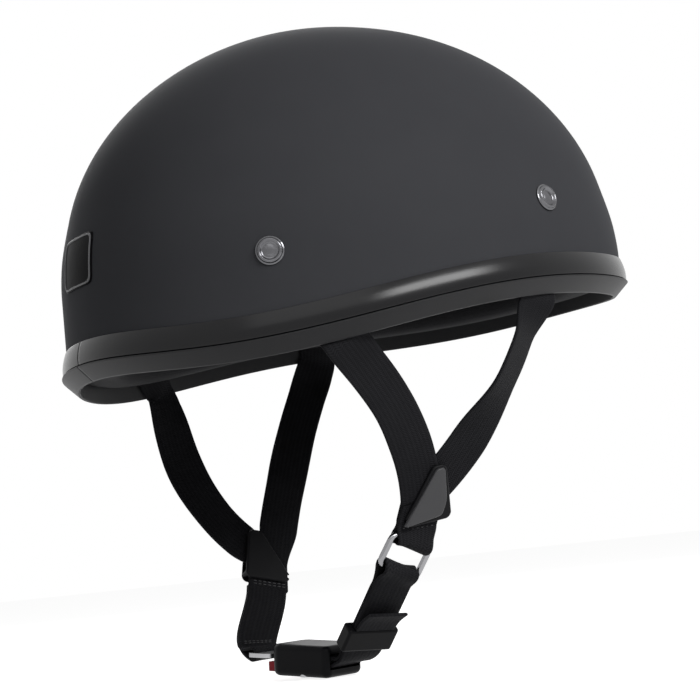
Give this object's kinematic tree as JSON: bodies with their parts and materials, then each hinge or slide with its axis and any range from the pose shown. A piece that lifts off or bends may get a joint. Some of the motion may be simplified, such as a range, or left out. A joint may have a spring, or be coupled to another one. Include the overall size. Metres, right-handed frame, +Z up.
{
  "type": "half shell motorcycle helmet",
  "caption": "Half shell riding helmet: matt dome with a moulded rubber edge, foam liner and pads, Y-shaped webbing harness and a quick release chin strap.",
  "frame": {"origin": "centre of the head space, at the level of the shell's widest line; +Z up through the crown", "axes": "+Z up, front of the helmet toward -Y, nape toward +Y, the wearer's left toward +X"},
  "size_m": [0.2358, 0.2873, 0.3152],
  "materials": {
    "shell_paint": "matte",
    "trim_rubber": "satin",
    "liner_foam": "matte",
    "lining_cloth": "matte",
    "pad_cloth": "matte",
    "rivet_steel": "polished",
    "washer_steel": "satin",
    "webbing": "satin",
    "guide_plastic": "satin",
    "ring_chrome": "polished",
    "buckle_plastic": "satin",
    "tongue_steel": "satin",
    "button_red": "satin",
    "spring_steel": "satin"
  },
  "bodies": {
    "helmet": {"outer_shell": "shell_paint", "edge_trim": "trim_rubber", "impact_liner": "liner_foam", "comfort_lining": "lining_cloth", "crown_pad": "pad_cloth", "brow_pad": "pad_cloth", "nape_pad": "pad_cloth", "right_side_pad": "pad_cloth", "left_side_pad": "pad_cloth", "strap_rivets": "rivet_steel", "rivet_washers": "washer_steel", "right_rear_anchor_strap": "webbing", "right_front_anchor_strap": "webbing", "left_rear_anchor_strap": "webbing", "left_front_anchor_strap": "webbing"},
    "right_harness": {"right_rear_strap": "webbing", "right_front_strap": "webbing", "right_strap_guide": "guide_plastic", "right_loop_strap": "webbing"},
    "left_harness": {"left_rear_strap": "webbing", "left_front_strap": "webbing", "left_strap_guide": "guide_plastic", "left_loop_strap": "webbing"},
    "chin_strap": {"wire_ring": "ring_chrome", "right_chin_strap": "webbing", "left_chin_strap": "webbing", "buckle_base": "buckle_plastic", "buckle_cover": "buckle_plastic", "buckle_screws": "washer_steel", "anchor_pin": "washer_steel", "latch_leaf": "spring_steel", "leaf_rivet": "washer_steel"},
    "tongue": {"buckle_tongue": "tongue_steel"},
    "button": {"release_button": "button_red"},
    "slider": {"strap_slider": "guide_plastic", "strap_tail": "webbing"}
  },
  "joints": [
    {"name": "right_harness_swing", "type": "hinge", "parent": "helmet", "child": "right_harness", "pos_m": [-0.104, 0, -0.048], "axis": [0, 1, 0], "range_deg": [-5, 5], "stiffness_Nm_per_rad": 0.6},
    {"name": "left_harness_swing", "type": "hinge", "parent": "helmet", "child": "left_harness", "pos_m": [0.104, 0, -0.048], "axis": [0, 1, 0], "range_deg": [-5, 5]},
    {"name": "chin_strap_pivot", "type": "hinge", "parent": "right_harness", "child": "chin_strap", "pos_m": [-0.062, 0.017, -0.143], "axis": [0, 1, 0], "range_deg": [-8.5, 8.5]},
    {"name": "tongue_slide", "type": "slide", "parent": "chin_strap", "child": "tongue", "axis": [0.9272, 0.3659, 0.0802], "range_m": [0, 0.022], "deforming": ["latch_leaf", "left_chin_strap"]},
    {"name": "button_press", "type": "slide", "parent": "chin_strap", "child": "button", "axis": [-0.9272, -0.3659, -0.0802], "range_m": [0, 0.003], "stiffness_N_per_m": 400, "springref_m": -0.001, "deforming": ["latch_leaf"]},
    {"name": "slider_shift", "type": "slide", "parent": "chin_strap", "child": "slider", "axis": [-0.6921, -0.0783, 0.7175], "range_m": [0, 0.011]}
  ],
  "couplings": [
    {"joint": "left_harness_swing", "follows": "right_harness_swing", "ratio": 0.7672},
    {"joint": "chin_strap_pivot", "follows": "right_harness_swing", "ratio": -1.6153}
  ]
}
